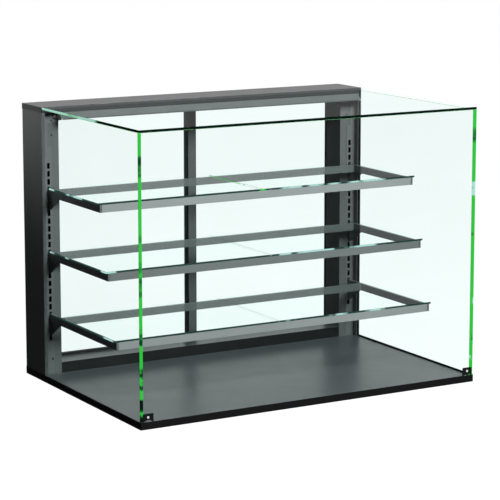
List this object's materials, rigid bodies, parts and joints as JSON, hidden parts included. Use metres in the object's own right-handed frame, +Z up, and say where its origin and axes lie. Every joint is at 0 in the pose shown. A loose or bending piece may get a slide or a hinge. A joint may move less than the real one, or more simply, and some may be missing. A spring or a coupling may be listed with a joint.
{
  "type": "bakery display case",
  "caption": "Counter-top bakery display case with a glass hood, hooked glass shelves on slotted rear columns, a light under the cap and sliding rear doors.",
  "frame": {"origin": "middle of the footprint, on the surface the case stands on", "axes": "+X to the right seen from the customers' side, +Y to the back with the sliding doors, +Z up"},
  "size_m": [1.2, 0.825, 0.89],
  "materials": {
    "base_steel": "satin black powder coat",
    "column_steel": "satin dark grey powder coat",
    "shelf_steel": "satin dark grey powder coat",
    "light_metal": "satin anodised",
    "door_metal": "satin anodised, dark",
    "hood_glass": "clear float glass, green edges",
    "shelf_glass": "clear float glass, green edges",
    "door_glass": "clear float glass",
    "bright_steel": "polished",
    "dark_screw": "blackened steel",
    "black_rubber": "matte",
    "clear_seal": "clear silicone",
    "door_shoe": "black nylon",
    "opal_plastic": "opal diffuser",
    "circuit_board": "white solder mask",
    "grey_plastic": "matte",
    "switch_plastic": "gloss black"
  },
  "bodies": {
    "frame": {"base_pan": "base_steel", "base_underplate": "base_steel", "cable_grommet": "black_rubber", "column_screws": "dark_screw", "column_skin_left": "column_steel", "column_skin_right": "column_steel", "column_upright_left": "column_steel", "column_upright_right": "column_steel", "cord_bush": "black_rubber", "corner_nuts": "bright_steel", "corner_screws": "bright_steel", "glass_front": "hood_glass", "glass_left": "hood_glass", "glass_right": "hood_glass", "glass_top": "hood_glass", "grommet_plug": "grey_plastic", "hood_gaskets": "clear_seal", "led_board": "circuit_board", "light_diffuser": "opal_plastic", "light_end_caps": "light_metal", "light_housing": "light_metal", "rail_covers": "base_steel", "rear_rail": "base_steel", "rubber_pads": "black_rubber", "slot_strip_left": "column_steel", "slot_strip_right": "column_steel", "switch_body": "switch_plastic", "top_cap": "column_steel", "top_rail": "column_steel", "track_bottom": "door_metal", "track_top": "door_metal"},
    "door_left": {"door_left_bottom_shoe": "door_shoe", "door_left_glass": "door_glass", "door_left_meeting_stile": "door_metal", "door_left_outer_stile": "door_metal", "door_left_top_shoe": "door_shoe"},
    "door_right": {"door_right_bottom_shoe": "door_shoe", "door_right_glass": "door_glass", "door_right_meeting_stile": "door_metal", "door_right_outer_stile": "door_metal", "door_right_top_shoe": "door_shoe"},
    "shelf_lower": {"shelf_lower_arm_left": "shelf_steel", "shelf_lower_arm_right": "shelf_steel", "shelf_lower_front_rail": "shelf_steel", "shelf_lower_glass_left": "shelf_glass", "shelf_lower_glass_right": "shelf_glass", "shelf_lower_rear_rail": "shelf_steel"},
    "shelf_middle": {"shelf_middle_arm_left": "shelf_steel", "shelf_middle_arm_right": "shelf_steel", "shelf_middle_front_rail": "shelf_steel", "shelf_middle_glass_left": "shelf_glass", "shelf_middle_glass_right": "shelf_glass", "shelf_middle_rear_rail": "shelf_steel"},
    "shelf_upper": {"shelf_upper_arm_left": "shelf_steel", "shelf_upper_arm_right": "shelf_steel", "shelf_upper_front_rail": "shelf_steel", "shelf_upper_glass_left": "shelf_glass", "shelf_upper_glass_right": "shelf_glass", "shelf_upper_rear_rail": "shelf_steel"},
    "switch_key": {"switch_rocker": "switch_plastic"}
  },
  "joints": [
    {"name": "door_left_slide", "type": "slide", "parent": "frame", "child": "door_left", "axis": [1, 0, 0], "range_m": [0, 0.55]},
    {"name": "door_right_slide", "type": "slide", "parent": "frame", "child": "door_right", "axis": [-1, 0, 0], "range_m": [0, 0.55]},
    {"name": "shelf_upper_lift", "type": "slide", "parent": "frame", "child": "shelf_upper", "axis": [0, 0, 1], "range_m": [0, 0.01]},
    {"name": "shelf_middle_lift", "type": "slide", "parent": "frame", "child": "shelf_middle", "axis": [0, 0, 1], "range_m": [0, 0.01]},
    {"name": "shelf_lower_lift", "type": "slide", "parent": "frame", "child": "shelf_lower", "axis": [0, 0, 1], "range_m": [0, 0.01]},
    {"name": "light_switch", "type": "hinge", "parent": "frame", "child": "switch_key", "pos_m": [0.5, 0.4057, 0.0345], "axis": [0, 0, 1], "range_deg": [-16, 0]}
  ]
}
